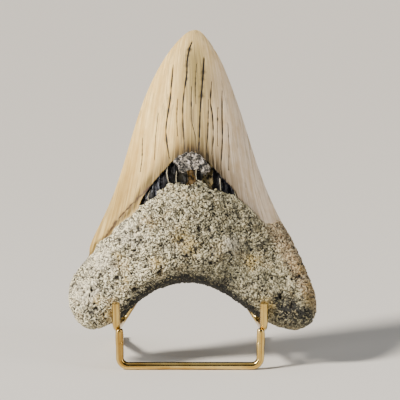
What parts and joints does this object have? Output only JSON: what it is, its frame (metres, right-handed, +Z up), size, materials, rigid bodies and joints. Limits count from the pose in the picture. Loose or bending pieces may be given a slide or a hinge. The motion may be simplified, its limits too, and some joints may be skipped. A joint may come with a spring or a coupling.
{
  "type": "megalodon tooth on a wire stand",
  "caption": "Large triangular fossil shark tooth with a smooth crown, a sunken dark band and a rough arched root, leaning back in a bent brass wire display stand.",
  "frame": {"origin": "middle of the front bar's underside, on the surface that the stand stands on", "axes": "+Z up, -Y towards the viewer of the tooth's display face, +X to that viewer's right"},
  "size_m": [0.1025, 0.0707, 0.1372],
  "materials": {
    "fossil": "satin",
    "brass_wire": "polished"
  },
  "bodies": {
    "root": {"tooth": "fossil", "cradle_wire": "brass_wire", "base_wire": "brass_wire"}
  },
  "joints": []
}
